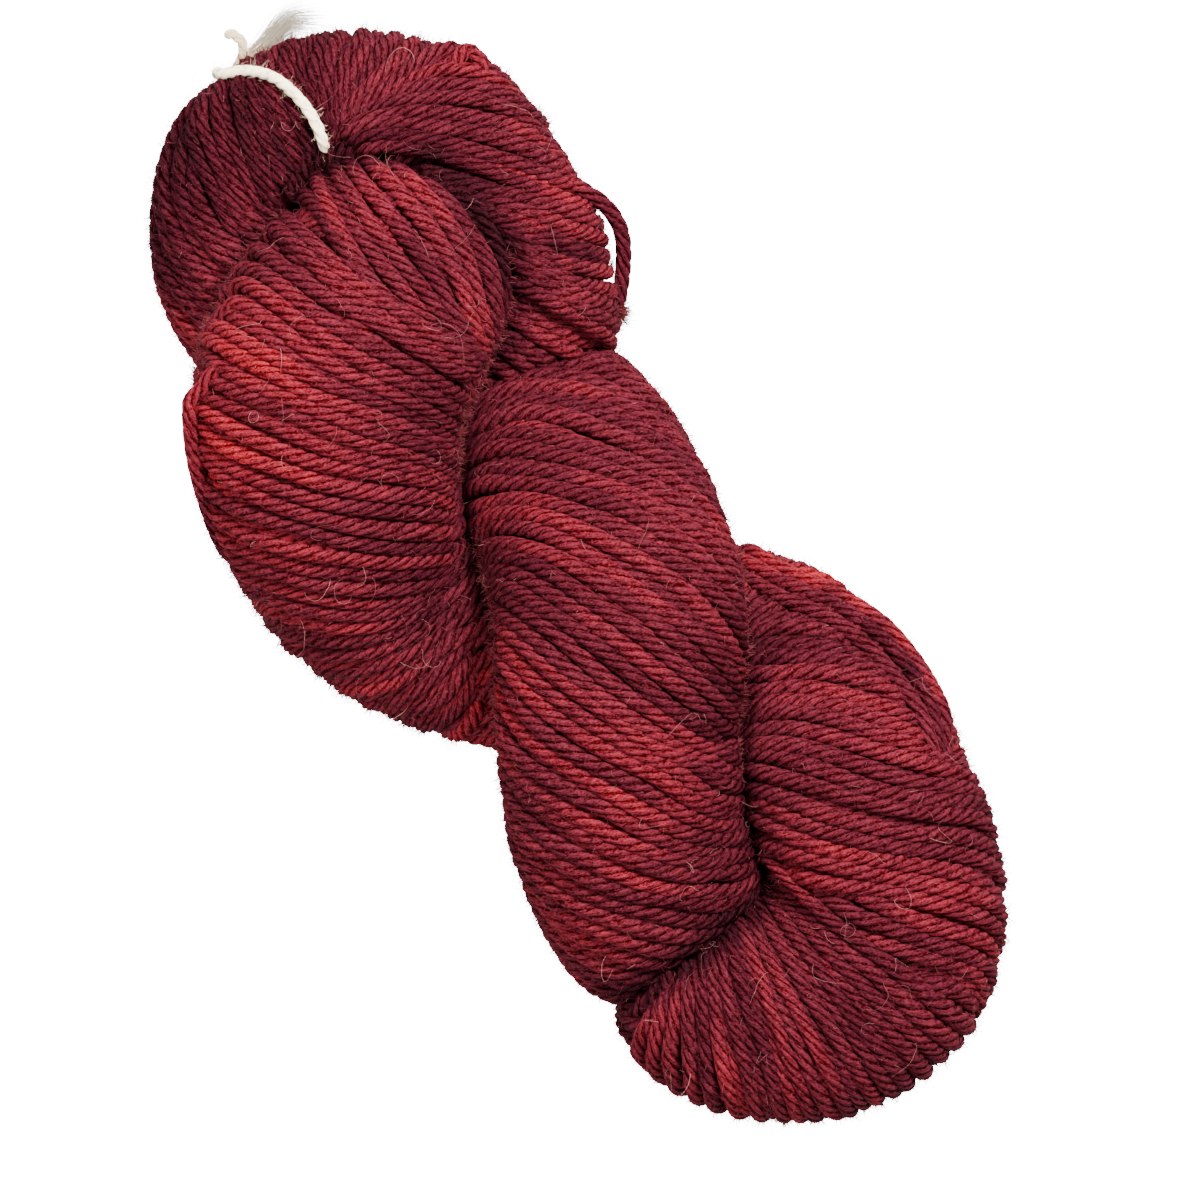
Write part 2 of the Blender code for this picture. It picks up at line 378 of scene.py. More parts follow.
def strand(bundle_name, points, out, radius, run, length, stops):
    """A strand's course: arrays along it, read at these stops of its length."""
    return {
        "bundle": bundle_name,
        "points": read_at(stops, length, points),
        "out": unit(read_at(stops, length, out)),
        "radius": read_at(stops, length, radius),
        "run": read_at(stops, length, run),
        "length": stops + random.uniform(0.0, DYE_REPEAT),
    }


def strand_courses(name, under):
    """All courses of one layer of a bundle, cut where they are hidden."""
    bundle = bundles[name]
    other = bundles["cap" if name == "collar" else "collar"]
    even = bundle.strands / (2.0 * np.pi)
    round_angles = 2.0 * np.pi * np.arange(ANGLES_ROUND) / ANGLES_ROUND
    counts = np.array([bundle.count_at(angle) for angle in round_angles])
    rises = np.gradient(counts, RUN_STEP, axis=1)
    turns = (counts.max() + bundle.strands) / bundle.strands + 1.0
    steps = np.arange(int(turns * ANGLES_ROUND))
    angle = 2.0 * np.pi * (ANGLES_ROUND - steps) / ANGLES_ROUND
    row = (ANGLES_ROUND - steps) % ANGLES_ROUND
    arc = steps * 2.0 * np.pi * USUAL_BUNDLE_RADIUS / ANGLES_ROUND
    courses = []
    for number in range(bundle.strands):
        stray = wander(arc, period=24.0, reach=0.22) + wander(arc, period=9.0, reach=0.10)
        wanted = number + 0.5 * under + stray - even * angle
        run = np.empty(len(steps))
        rise = np.empty(len(steps))
        for place_round in range(ANGLES_ROUND):
            here = row == place_round
            run[here] = np.interp(
                wanted[here], counts[place_round], bundle.run, left=-1.0, right=-1.0
            )
            rise[here] = np.interp(run[here], bundle.run, rises[place_round])
        on = run >= 0.0
        if on.sum() < LEAST_STEPS:
            continue
        run, rise, psi, along = run[on], rise[on], angle[on], arc[on]
        normal = unit(bundle.at(run, bundle.normal))
        side = unit(bundle.at(run, bundle.side))
        radius = bundle.at(run, bundle.radius)
        sway = bundle.at(run, bundle.sway)
        out = np.cos(psi)[:, None] * normal + np.sin(psi)[:, None] * side
        spread = 1.0 - radius * np.sum(bundle.at(run, bundle.bend) * out, axis=1)
        spread = np.maximum(spread, LEAST_SPREAD)
        turning = (
            even + sway[:, 0] * np.cos(psi) + sway[:, 1] * np.sin(psi)
            + 2.0 * sway[:, 2] * np.cos(2.0 * psi) + 2.0 * sway[:, 3] * np.sin(2.0 * psi)
        )
        spacing = 1.0 / np.hypot(rise / spread, turning / radius)
        roomy = np.clip((spacing - SNUG_SPACING) / SNUG_RANGE, -1.0, 1.0)
        crowded = np.clip((TIGHT_SPACING - spacing) / TIGHT_RANGE, 0.0, 1.0)
        thickness = STRAND_RADIUS + 0.14 + 0.16 * roomy
        thickness *= 1.0 + wander(along, period=30.0, reach=0.09)
        if under:
            rising = np.clip(spacing - LOWER_RISE_SPACING, 0.0, 1.0)
            depth = thickness + LOWER_DEPTH - LOWER_RISE * rising
            depth += wander(along, period=8.0, reach=0.2)
            shown = spacing > LOWER_SEEN_SPACING
        else:
            depth = thickness + wander(along, period=26.0, reach=0.45)
            depth += wander(along, period=9.0, reach=0.25)
            depth += CROWDED_DEPTH * crowded * (number % 2)
            depth = np.maximum(depth, thickness - 0.3)
            shown = np.ones(len(run), dtype=bool)
        points = bundle.at(run, bundle.middle) + (radius - depth)[:, None] * out
        pressed = np.maximum(
            other.depth_inside(points), bundle.depth_inside(points, own_run=run)
        )
        shown &= pressed < HIDDEN_DEPTH
        press = np.log1p(np.exp(PRESS_SHARPNESS * (pressed - PRESS_FROM))) / PRESS_SHARPNESS
        points = points - np.minimum(PRESS_SHARE * press, DEEPEST_PRESS)[:, None] * out
        points, out = press_flat(points, out, thickness)
        edges = np.flatnonzero(np.diff(np.concatenate([[0], shown.astype(int), [0]])))
        for first, last in zip(edges[::2], edges[1::2]):
            if last - first <= LEAST_RINGS:
                continue
            length = run_along(points[first:last])
            seen = np.where(out[first:last, 2] > UNDERSIDE_FROM, 1.0, UNDERSIDE_DETAIL)
            effort = np.concatenate([[0.0], np.cumsum(np.diff(length) * seen[1:])])
            count = int(effort[-1] / (LOWER_RING_STEP if under else RING_STEP))
            if count < LEAST_RINGS:
                continue
            stops = np.interp(np.linspace(0.0, effort[-1], count), effort, length)
            own = (values[first:last] for values in (points, out, thickness, run))
            courses.append(strand(name, *own, length, stops))
    return courses


# ---- The fanned strands ----------------------------------------------------
# The outermost strands fan out from the dimple over both folds of the tied
# end, and from the last crease over the folded end. They lie over the others,
# draw taut across hollows, and wrap round the edge.
FAN_SAMPLES = 70
FIRST_DIVE, LAST_DIVE = 2.6, 3.2
TUCK_UNDER, TUCK_BY_TURNS = 1.3, 0.8
CROWD_RANGE, ROOM_RANGE = 1.4, 1.5
CROWDED_THINNER, ROOMY_THICKER, END_THICKER = 0.12, 0.12, 0.28
ENDING_FROM, ENDING_RANGE = 0.6, 0.3
FREE_SIDE = 9.0
FOLD_HEART = numbers("68,4.5,29,8.5  80,7,31.5,9.5  92,7,32,8", 4)
# Each fan has its bundle, how far its strands carry on before their first and
# past their last point, how wide each is and how far it stands off the rest,
# in millimetres. Each line is the course of one strand, by points right and
# down in the picture, in pixels. The last three strands lie by themselves: two
# beside the first lobe, and a small loop that stands off the upper edge
FANS = {
    "collar_fan": ("collar", 0.0, 17.0, 2.6, 0.0, """
        236,240 226,215 212,185 200,158 194,132 202,106
        250,216 240,190 230,160 221,130 216,104 219,84
        266,205 257,178 248,148 241,118 236,92 238,74
        284,190 276,163 266,135 257,108 252,84 255,66
        300,175 292,150 282,122 273,98 268,76 272,58
        312,160 304,138 294,112 287,88 284,68 289,50
        321,148 314,122 306,96 302,74 304,56 311,42
        325,140 323,114 324,90 328,66 336,48 344,34
        328,136 336,110 348,86 360,63 371,45 381,32
        331,136 345,112 364,90 384,70 402,52 416,39
        340,128 358,110 382,92 406,76 426,60 442,46
        344,122 366,102 392,84 416,67 437,54 462,45
    """),
    "collar_arc_fan": ("collar", 0.0, 15.0, 3.0, 0.8, """
        349,112 376,93 400,77 422,62 444,53 466,54 488,63 508,78
        350,113 375,98 402,84 426,72 452,68 476,72 500,85 524,106
        347,117 370,103 399,93 428,86 458,84 488,89 514,102 540,124
        344,122 366,110 396,102 430,99 462,99 492,104 520,116 548,142
        340,129 362,118 394,112 430,113 464,116 497,122 528,134 556,156
        340,136 363,125 395,122 431,127 467,131 501,139 533,153 565,173
        344,144 366,135 397,135 432,141 467,148 502,159 538,173 577,191
        356,152 376,147 400,147 432,153 466,163 500,176 540,190 590,208
    """),
    "collar_side_fan": ("collar", 4.0, 12.0, 3.1, 1.4, """
        440,176 464,184 490,190 516,196 545,206 575,216 602,226
        446,184 470,194 496,203 520,210 546,220 574,231 604,241
        470,202 494,215 520,227 544,239 570,248 592,253 609,257
        498,216 518,236 540,253 562,264 582,269 598,271 610,272
        510,230 528,250 550,269 572,281 590,286 602,289 610,292
        518,246 536,265 558,284 580,297 596,303 606,308 613,312
        524,266 543,282 565,298 585,310 600,318 609,323 615,328
        532,290 550,303 570,314 588,324 600,331 607,337 612,343
    """),
    "lobe_fan": ("cap", 0.0, 0.0, 3.2, 0.2, """
        227,298 240,286 262,295 300,322 340,348 380,370 420,391 452,412 466,422
        231,280 246,269 276,283 318,314 358,340 400,363 440,386 471,401
        239,258 255,248 286,268 330,299 370,321 410,344 448,368 477,384
        248,236 262,222 290,239 332,280 375,310 414,332 452,356 482,376
        258,216 274,210 304,236 342,273 384,303 422,327 457,349 486,371
        272,200 290,192 314,204 336,238 364,282 405,318 455,345 489,368
        307,157 318,180 332,212 352,250 379,290 416,322 460,343 490,366
        329,159 342,184 362,214 390,250 416,282 440,316 464,343 492,365
        345,155 362,180 388,215 414,250 438,283 456,315 473,341 494,364
        364,157 384,178 412,210 438,245 458,280 470,312 482,340 496,363
        388,163 404,178 432,206 456,240 471,275 480,308 488,338 498,362
        412,175 432,190 456,214 475,243 487,275 493,306 497,336 500,361
        424,177 448,187 475,208 495,242 508,276 511,306 507,334 502,360
    """),
    "side_fan": ("cap", 16.0, 0.0, 2.9, 0.0, """
        226,313 236,304 252,311 280,329 300,345 340,370 380,386 420,405 450,426 464,438
        206,322 222,327 250,342 280,359 320,381 360,397 400,412 435,430 462,448
        198,334 214,340 245,358 280,377 320,398 360,412 400,424 435,440 461,458
        192,350 208,358 240,377 280,396 320,413 360,428 400,438 435,452 461,470
        190,372 206,378 240,394 280,410 320,428 360,442 400,451 435,463 461,482
        188,386 206,395 240,412 280,430 320,446 360,457 400,463 435,474 461,492
        189,402 208,412 240,430 280,448 320,462 360,471 400,477 435,485 462,501
        188,402 203,426 228,448 270,467 310,479 350,488 390,494 430,499 463,511
        191,426 206,447 232,466 270,484 310,497 350,505 390,511 430,515 464,523
        191,438 208,461 232,482 270,502 310,516 350,526 390,531 430,534 465,536
        187,462 202,482 232,503 270,520 310,533 350,542 390,547 430,549 466,549
        188,486 202,504 232,525 270,541 310,551 350,558 390,562 430,562 467,560
        193,510 208,527 236,545 270,557 310,567 350,572 390,575 430,574 468,570
        202,536 218,549 246,563 280,575 315,584 350,589 390,590 430,586 468,580
        216,558 232,567 258,580 290,591 320,598 350,602 390,602 430,598 469,590
        236,585 256,593 282,603 312,611 345,615 380,613 415,607 445,600 470,598
        262,607 280,613 302,620 330,626 358,627 388,623 418,616 446,608 470,606
        282,630 298,634 318,638 342,640 366,638 392,632 420,624 447,616 471,612
        300,650 316,652 334,654 356,653 378,649 402,641 426,632 450,621 472,613
        320,668 336,670 354,670 374,667 394,660 414,650 434,638 452,627 471,616
        342,688 358,688 376,686 396,680 414,671 430,660 446,647 460,635 473,622
        366,703 382,702 400,697 418,690 434,680 448,667 460,653 469,640 475,628
        394,716 410,712 428,705 443,696 455,685 465,671 471,657 476,642
        424,727 440,721 454,713 465,702 472,689 476,675 478,660
        450,735 462,728 471,719 477,707 480,693 481,680
    """),
    "fold_fan": ("cap", 0.0, 20.0, 2.9, 0.0, """
        656,1000 650,1014 645,1028 641,1042 639,1054 642,1066
        671,984 664,1004 659,1024 655,1044 654,1062 659,1076
        686,972 679,997 675,1022 671,1046 671,1066 675,1083
        697,960 692,990 690,1018 690,1046 691,1072 695,1095
        706,950 702,982 703,1012 706,1042 710,1070 713,1098
        714,942 713,978 716,1010 720,1042 725,1074 733,1104
        722,934 725,970 731,1006 740,1042 748,1076 757,1109
        730,925 736,960 747,998 759,1036 771,1074 780,1109
        737,914 750,952 765,994 781,1034 796,1072 811,1108
        744,901 761,941 781,984 801,1024 822,1064 842,1101
        750,888 771,930 796,973 821,1014 846,1053 870,1090
        755,876 781,918 811,960 840,1000 870,1039 899,1076
        758,864 789,905 823,945 858,981 894,1016 932,1050
        760,852 797,890 838,928 878,959 918,989 962,1022
    """),
    "edge_fan": ("cap", 0.0, 6.0, 3.0, 0.6, """
        738,541 776,565 806,579 847,598 884,624 909,651 930,678 943,706 949,733
        739,553 772,575 802,589 842,607 876,632 901,658 920,684 933,709 941,736
        740,572 768,592 797,606 832,622 864,645 889,670 908,695 922,718 934,742
    """),
    "left_edge_strand": ("cap", 6.0, 6.0, 2.9, 1.6, """
        204,386 192,402 188,430 188,458 193,484 201,510 213,536 228,558
    """),
    "right_edge_strand": ("cap", 0.0, 0.0, 2.9, 0.5, """
        506,258 516,270 522,287 521,304 515,320 507,334
    """),
    "upper_edge_loop": ("collar", 0.0, 0.0, 2.8, 3.0, """
        456,58 464,50 472,46 480,48 486,56 490,66
    """),
}


def on_table(right, down, height=0.0):
    """The place seen at a point of the picture, this high over the table."""
    nearness = (CAMERA_HEIGHT / MM - height) / ((CAMERA_HEIGHT - SILHOUETTE_HEIGHT) / MM)
    across = (right - PHOTO_PIXELS / 2.0) * PIXEL / MM * nearness
    up = (PHOTO_PIXELS / 2.0 - down) * PIXEL / MM * nearness
    x = PICTURE_MIDDLE[0] / MM + ALONG_HANK[0] * across - ALONG_HANK[1] * up
    y = PICTURE_MIDDLE[1] / MM + ALONG_HANK[1] * across + ALONG_HANK[0] * up
    return np.stack([x, y], axis=-1)


class Skin:
    """A bundle's skin, as the outside of a row of balls. The cap's has balls
    in the hollow of its fold as well."""

    def __init__(self, name):
        bundle = bundles[name]
        self.middle = bundle.middle[::2]
        self.radius = bundle.radius[::2]
        if name == "cap":
            heart = smooth_rows(FOLD_HEART, 1.0)
            heart_middle = (heart[:, :3] - HANK_MIDDLE) / (1.0, 1.0, FLATTENING)
            self.middle = np.vstack([self.middle, heart_middle])
            self.radius = np.concatenate([self.radius, heart[:, 3]])

    def top(self, places, depth):
        """The height over each place, this deep in the skin. Past the edge it
        is that of the nearest edge, and the place moves there."""
        across = places[:, None, :] - self.middle[None, :, :2]
        away = np.linalg.norm(across, axis=-1)
        reach = self.radius[None, :] - depth[:, None]
        top = self.middle[None, :, 2] + np.sqrt(np.maximum(reach**2 - away**2, 0.0))
        top[away >= reach] = NOT_INSIDE
        highest = top.max(axis=1)
        nearest = np.argmax(reach - away, axis=1)
        rows = np.arange(len(places))
        past = highest < 0.0
        inward = across[rows, nearest] * (reach / np.maximum(away, 0.1))[rows, nearest][:, None]
        edge = self.middle[nearest, :2] + inward
        height = np.where(past, self.middle[nearest, 2], highest)
        return np.column_stack([np.where(past[:, None], edge, places), height])

    def out(self, points):
        """The nearest ball's middle and radius, and the way out from it."""
        away = np.linalg.norm(points[:, None, :] - self.middle[None, :, :], axis=-1)
        nearest = np.argmax(self.radius[None, :] - away, axis=1)
        middle = self.middle[nearest]
        return middle, self.radius[nearest], unit(points - middle)

    def carry_on(self, points, depth, length):
        """The points of a course, and it going straight on over the skin."""
        course = list(points)
        heading = unit(points[-1] - points[-3])
        for _ in range(int(length)):
            onward = course[-1] + heading
            middle, radius, out = self.out(onward[None, :])
            there = middle[0] + (radius[0] - depth) * out[0]
            heading = unit(there - course[-1])
            course.append(there)
        return np.array(course)


def draw_taut(points):
    """The points lifted to the height of a string drawn tight over them."""
    run = run_along(points[:, :2])
    taut = [0]
    for index in range(1, len(points)):
        while len(taut) > 1:
            first, last = taut[-2], taut[-1]
            line = (points[last, 2] - points[first, 2]) * (run[index] - run[first])
            rise = (points[index, 2] - points[first, 2]) * (run[last] - run[first])
            if line > rise:
                break
            taut.pop()
        taut.append(index)
    lifted = points.copy()
    lifted[:, 2] = np.interp(run, run[taut], points[taut, 2])
    return lifted


def picture_course(line):
    """A smooth course of even samples through some points of the picture."""
    smooth = smooth_rows(numbers(line, 2), 3.0)
    run = run_along(smooth)
    return read_at(np.linspace(0.0, run[-1], FAN_SAMPLES), run, smooth)


def fan_courses(bundle_name, before, past, width, stand_off, table):
    """The courses of a fan: those listed, and more between any two that
    leave room. Where they crowd together they go under each other by turns."""
    skin = Skin(bundle_name)
    listed = [picture_course(line) for line in table.strip().splitlines()]
    drawn = []
    between = []
    for one, next_one in zip(listed, listed[1:]):
        widest = np.percentile(np.linalg.norm(next_one - one, axis=1), 80) * PIXEL / MM
        count = max(1, round(widest / width))
        drawn += [one + (next_one - one) * part / count for part in range(count)]
        between += [part > 0 for part in range(count)]
    drawn = np.array([*drawn, listed[-1]])
    between.append(False)
    side = np.zeros(drawn.shape)
    if len(drawn) > 1:
        side = np.gradient(drawn, axis=0)
        side /= np.maximum(np.linalg.norm(side, axis=-1, keepdims=True), 0.1)
    run = np.linspace(0.0, 60.0, FAN_SAMPLES)
    stray = [
        wander(run, period=18.0, reach=2.2) + wander(run, period=6.0, reach=0.8) for _ in drawn
    ]
    drawn = drawn + np.array(stray)[:, :, None] * side

    def apart(steps):
        """How far each is from those so many places on, and back."""
        far = np.full(drawn.shape[:2], FREE_SIDE)
        if len(drawn) <= steps:
            return np.full(drawn.shape[:2], width)
        gap = np.linalg.norm(drawn[steps:] - drawn[:-steps], axis=-1) * PIXEL / MM
        far[steps:] = gap
        far[:-steps] = np.minimum(far[:-steps], gap)
        return far

    crowd = np.clip((width - apart(1)) / CROWD_RANGE, 0.0, 1.0)
    room = np.clip((apart(1) - width) / ROOM_RANGE, 0.0, 1.0)
    more_crowd = np.clip((width - apart(2)) / CROWD_RANGE, 0.0, 1.0)
    courses = []
    for number, places in enumerate(drawn):
        thickness = (0.25 * STRAND_RADIUS + 0.43 * width) * random.uniform(0.95, 1.08)
        thickness = thickness * (1.0 + wander(run, period=15.0, reach=0.06))
        ending = np.clip((run / run[-1] - ENDING_FROM) / ENDING_RANGE, 0.0, 1.0)
        thicker = (ROOMY_THICKER + END_THICKER * ending) * room[number]
        thickness *= 1.0 - CROWDED_THINNER * crowd[number] + thicker
        depth = thickness - 0.1 - stand_off + wander(run, period=20.0, reach=0.35)
        if between[number]:
            depth += TUCK_UNDER * crowd[number]
        elif number % 2:
            depth += TUCK_BY_TURNS * more_crowd[number]
        height = np.full(FAN_SAMPLES, SILHOUETTE_HEIGHT / MM)
        for _ in range(3):
            points = skin.top(on_table(*places.T, height), depth)
            height = points[:, 2] * FLATTENING
        points = draw_taut(points)
        points = skin.carry_on(points[::-1], depth[0], before)[::-1]
        points = skin.carry_on(points, depth[-1], past)
        own_run = run_along(points)
        thickness = np.pad(thickness, (int(before), int(past)), mode="edge")
        out = skin.out(points)[2]
        dive = FIRST_DIVE * np.exp(-own_run / 2.0)
        dive += LAST_DIVE * np.exp((own_run - own_run[-1]) / 5.0)
        points, out = press_flat(points - dive[:, None] * out, out, thickness)
        length = run_along(points)
        stops = np.linspace(0.0, length[-1], int(length[-1] / RING_STEP))
        courses.append(strand(bundle_name, points, out, thickness, length, length, stops))
    return courses


fans = {name: fan_courses(*fan) for name, fan in FANS.items()}


# ---- Yarn ------------------------------------------------------------------
# The wool is spun from plies that twist round each other to the left, soft
# and round, with a groove between each and the next. It was dyed as a skein,
# so its shade drifts along each strand, from burgundy to a bright red.
PLIES = 5
PLY_TURN = 14.5
GROOVE = 0.23
END_TAPER = 0.2
STRIP_MARGIN = 0.04
LOWEST_POINT = 0.02
GROOVE_FROM, GROOVE_SHARPNESS = 0.52, 2.4
FLECKS_FROM, FLECK_SHARPNESS = 0.62, 7.0
MIDDLE_TONE = 0.59
# A little white light added where fibres stand proud: a painted sheen highlight.
FIBRE_SHEEN_WHITE = (0.014, 0.0078, 0.0080)


def ringed_mesh(name, rings, ends, ring_width, marks):
    """A mesh of tubes from rows of rings, with no face across the rings that
    end a tube. The tubes' skins lie flat, side by side, in the bake layout.
    marks are (name, kind, values) kept on the points."""
    total, round_count = rings.shape[:2]
    is_end = np.zeros(total, dtype=bool)
    is_end[ends] = True
    ring = np.flatnonzero(~is_end)
    column = np.arange(round_count)
    following = (column + 1) % round_count
    first = ring[:, None] * round_count
    faces = np.stack([
        first + column, first + following,
        first + round_count + following, first + round_count + column,
    ], axis=-1).reshape(-1, 4)
    mesh = bpy.data.meshes.new(name)
    mesh.vertices.add(total * round_count)
    mesh.vertices.foreach_set("co", rings.ravel() * MM)
    mesh.loops.add(faces.size)
    mesh.loops.foreach_set("vertex_index", faces.ravel().astype(np.int32))
    mesh.polygons.add(len(faces))
    mesh.polygons.foreach_set("loop_start", np.arange(0, faces.size, 4, dtype=np.int32))
    mesh.polygons.foreach_set("use_smooth", np.ones(len(faces), dtype=bool))
    mesh.update(calc_edges=True)

    strips = max(1, round(math.sqrt(total * ring_width)))
    per_strip = math.ceil(total / strips)
    strip, cell = np.divmod(ring, per_strip)
    left = (cell / per_strip)[:, None] + np.zeros(round_count)
    right = left + 1.0 / per_strip
    width = 1.0 - 2.0 * STRIP_MARGIN
    low = (strip[:, None] + STRIP_MARGIN + width * column / round_count) / strips
    high = (strip[:, None] + STRIP_MARGIN + width * (column + 1) / round_count) / strips
    corners = np.stack([left, low, left, high, right, high, right, low], axis=-1)
    layout = mesh.uv_layers.new(name="OFBake")
    layout.data.foreach_set("uv", corners.ravel())
    for key, kind, values in marks:
        layer = mesh.attributes.new(key, kind, "POINT")
        field = "vector" if kind == "FLOAT_VECTOR" else "value"
        layer.data.foreach_set(field, values.ravel())
    return place(name, mesh)


def yarn_tube(name, courses, shade, plies=PLIES, turn=PLY_TURN, facets=3):
    """One mesh of twisted yarn along every course. Its rings turn with the plies, so that the
    grooves follow edges, and it keeps on each point the place round and along the yarn, and the
    shade: the dye's, with the painted shade and light that the shade function adds."""
    round_count = plies * facets
    around = 2.0 * np.pi * np.arange(round_count) / round_count
    crown = np.abs(np.sin(plies * around / 2.0)) ** 0.6
    profile = 1.0 - GROOVE * (1.0 - crown)
    rings = []
    yarn_place = []
    shades = []
    for course in courses:
        points = course["points"]
        count = len(points)
        tangent = unit(np.gradient(points, axis=0))
        out = course["out"]
        out = unit(out - np.sum(out * tangent, axis=1, keepdims=True) * tangent)
        side = np.cross(tangent, out)
        turned = course["length"] * 2.0 * np.pi / turn
        turned += wander(course["length"], period=14.0, reach=0.9)
        twist = around[None, :] - turned[:, None]
        radius = course["radius"].copy()
        radius[[0, -1]] *= course.get("taper", END_TAPER)
        reach = radius[:, None] * profile[None, :]
        ring = (
            points[:, None, :]
            + (reach * np.cos(twist))[:, :, None] * out[:, None, :]
            + (reach * np.sin(twist))[:, :, None] * side[:, None, :]
        )
        ring[:, :, 2] = np.maximum(ring[:, :, 2], LOWEST_POINT)
        rings.append(ring)
        yarn_place.append(np.stack([
            np.tile(np.cos(around), count), np.tile(np.sin(around), count),
            np.repeat(course["length"], round_count),
        ], axis=-1))
        shades.append(np.repeat(shade(course), round_count))
    ends = np.cumsum([len(ring) for ring in rings]) - 1
    marks = [
        ("yarn_place", "FLOAT_VECTOR", np.concatenate(yarn_place)),
        ("shade", "FLOAT", np.concatenate(shades)),
    ]
    return ringed_mesh(name, np.concatenate(rings), ends, 0.11, marks)


def hand_over(piece, material, stands_for=None):
    """Give a piece its finish, hang it on the root, and hide the part that it stands for."""
    piece.data.materials.append(material)
    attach(piece, "root")
    if stands_for:
        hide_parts(stands_for)
    return piece


def principled(name, plain):
    """A new material whose shader has these values all over, with the shader
    and a socket to start its other nodes from."""
    material = bpy.data.materials.new(name)
    material.use_nodes = True
    shader = material.node_tree.nodes["Principled BSDF"]
    for key, value in plain.items():
        shader.inputs[key].default_value = value
    return material, shader, Socket(material.node_tree)


def wool(name, dye_stops, shade_in_grooves, highlight_on_crowns, plies=PLIES, contrast=1.0, sheen=0.0):
    """Soft plied wool. The dye's shade gives its colour. Deep between the plies and their fibres
    it is multiplied by one colour, as painted shade; where fibres stand proud it is multiplied by
    another and a little white light is added, as a painted sheen highlight. Both are in its
    relief."""
    material, shader, start = principled(name, {
        "Roughness": 0.6, "Specular IOR Level": 0.01,
        "Sheen Weight": sheen, "Sheen Roughness": 0.4,
    })
    yarn_place = start.node("ShaderNodeAttribute", {"attribute_name": "yarn_place"}, (), 1)
    shade = start.node("ShaderNodeAttribute", {"attribute_name": "shade"}, (), 2)

    def times(vector, factors, plus=(0.0, 0.0, 0.0)):
        return start.node(
            "ShaderNodeVectorMath", {"operation": "MULTIPLY_ADD"},
            {0: vector, 1: factors, 2: plus},
        )

    def streaks(round_scale, along_scale, detail):
        stretched = times(yarn_place, (round_scale, round_scale, along_scale))
        return start.node(
            "ShaderNodeTexNoise", (),
            {"Vector": stretched, "Scale": 1.0, "Detail": detail, "Roughness": 0.6},
        )

    fibres = streaks(round_scale=4.4, along_scale=0.9, detail=3.0)
    fluff = streaks(round_scale=4.8, along_scale=2.7, detail=2.0)
    mottle = streaks(round_scale=1.3, along_scale=0.30, detail=2.0)
    specks = streaks(round_scale=7.0, along_scale=4.2, detail=1.0)
    flecks = ((specks - FLECKS_FROM) * FLECK_SHARPNESS).clamped()
    across = start.node("ShaderNodeSeparateXYZ", (), {0: yarn_place})
    down = Socket(start.tree, across.link.node.outputs[1])
    turned = start.maths("ARCTAN2", down, across) * (plies / (2.0 * math.pi))
    ply_place = start.maths("FRACT", turned + (mottle - 0.5) * 0.5 + (fibres - 0.5) * 0.4)
    from_crown = start.maths("ABSOLUTE", ply_place * 2.0 - 1.0)
    groove = ((from_crown - GROOVE_FROM) * GROOVE_SHARPNESS).clamped()
    dye = (shade + (mottle - 0.5) * 0.4).clamped().ramp(dye_stops)
    # The fibres' own tone, made darker in the grooves between the plies as painted shade.
    tone_and_groove_shade = (fibres - 0.5) * 2.2 + (fluff - 0.5) * 2.3 - groove * 0.62 + flecks * 0.7
    # deep and pale are the two ends of the fibres' tone: deep carries painted shade, pale a
    # painted sheen highlight.
    deep = times(dye, shade_in_grooves)
    pale = times(dye, highlight_on_crowns, FIBRE_SHEEN_WHITE)
    colour = start.node(
        "ShaderNodeMix", {"data_type": "RGBA"},
        {0: (MIDDLE_TONE + tone_and_groove_shade * contrast).clamped(), 6: deep, 7: pale}, 2,
    )
    colour.feed(shader, "Base Color")
    bump = start.node(
        "ShaderNodeBump", (),
        {"Strength": 0.8, "Distance": 0.35 * MM, "Height": fibres + fluff * 0.8 - groove * 0.6},
    )
    bump.feed(shader, "Normal")
    return material


DYE_STOPS = [
    (0.00, (0.020, 0.0007, 0.0024)),
    (0.25, (0.046, 0.0015, 0.0047)),
    (0.50, (0.100, 0.0047, 0.0101)),
    (0.75, (0.210, 0.0070, 0.0134)),
    (1.00, (0.410, 0.0088, 0.0148)),
]
# The third colour is painted shade in the grooves, the fourth a painted sheen highlight on the
# proud fibres.
dyed_wool = wool("dyed_wool", DYE_STOPS, (0.30, 0.07, 0.105), (2.05, 4.5, 4.0))


# ---- The tie ---------------------------------------------------------------
# A thin cream yarn goes once round the twisted end and through the dimple, and
# is knotted at the far left. One of its ends is short and bent, and the other
# has frayed into a tuft.
TIE_RADIUS = 1.15
TIE_PLIES = 3
TIE_PLY_TURN = 7.5
TIE_LOOP = numbers("""
    -111.5,-4.5,30.5  -113.1,-6.4,35.5  -112.2,-5.6,40.5  -110.4,-1.8,44.1  -107.6,1.3,47.5
    -104.3,3.2,50.5  -99.5,4.5,53  -95.2,4.8,53.9  -91.6,4.3,52.7  -89.6,3.7,49.3
    -89,3.3,43.5  -89,3,33.5  -90,1.8,24  -96,0.2,20.7  -103.5,-1.6,22.1  -109,-3.4,26.1
    -111.5,-4.5,30.5
""", 3)
SHORT_END = numbers("""
    -111.5,-4.5,30.5  -112.4,-2.4,33  -113.9,-0.3,34.7  -116,0.6,35.5  -118.1,-0.2,35.5
    -118.5,-1.6,35.1
""", 3)
LONG_END = numbers("""
    -111.5,-4.5,30.5  -112.8,-1.2,32.9  -113.1,3.6,34.8  -114,7.4,35.7  -114.6,10.2,36.1
    -113.2,12.8,35.7
""", 3)
CREAM_STOPS = [
    (0.00, (0.36, 0.29, 0.20)),
    (0.40, (0.86, 0.76, 0.59)),
    (0.75, (0.94, 0.85, 0.69)),
    (1.00, (0.98, 0.92, 0.80)),
]
